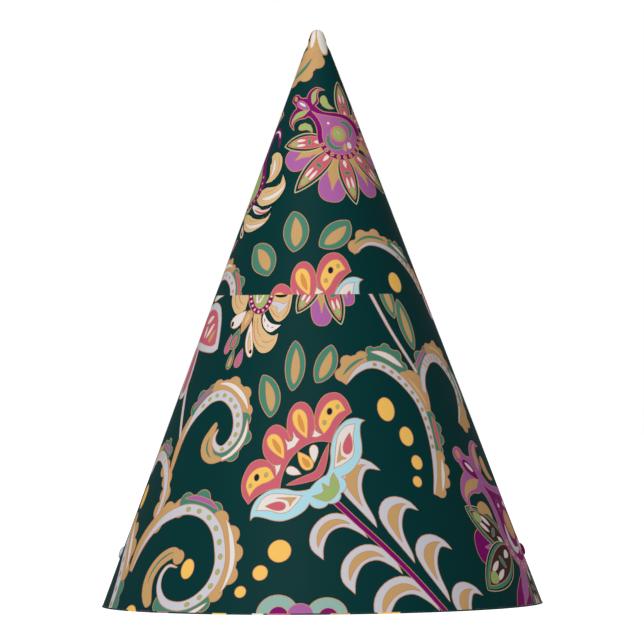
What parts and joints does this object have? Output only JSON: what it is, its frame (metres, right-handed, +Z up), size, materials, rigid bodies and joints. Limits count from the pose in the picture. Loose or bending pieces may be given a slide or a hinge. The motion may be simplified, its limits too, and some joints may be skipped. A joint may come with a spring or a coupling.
{
  "type": "conical hat",
  "caption": "Tall conical hat rolled from printed card in two panels, with a back lap seam, a rim edging and side slots for a chin elastic.",
  "frame": {"origin": "centre of the rim's lowest plane, on the cone's axis", "axes": "+Z up the cone's axis to the point; the printed front faces -Y, the lap seams are at +Y and the elastic slots at -X and +X"},
  "size_m": [0.1523, 0.1525, 0.1985],
  "materials": {
    "lower_print": "satin coated card, dark teal ground with a many-coloured floral print",
    "upper_print": "satin coated card, dark teal ground with a many-coloured floral print",
    "edging_print": "satin printed paper",
    "button_print": "satin printed card",
    "plain_card": "matt uncoated white card",
    "tape": "clear double-sided tape"
  },
  "bodies": {
    "root": {"lower_panel": "lower_print", "upper_panel": "upper_print", "joining_band": "plain_card", "band_tape_lower": "tape", "band_tape_upper": "tape", "lower_seam_tape": "tape", "upper_seam_tape": "tape", "rim_edging": "edging_print", "left_slot_button": "button_print", "right_slot_button": "button_print", "left_slot_backing": "plain_card", "right_slot_backing": "plain_card"}
  },
  "joints": []
}
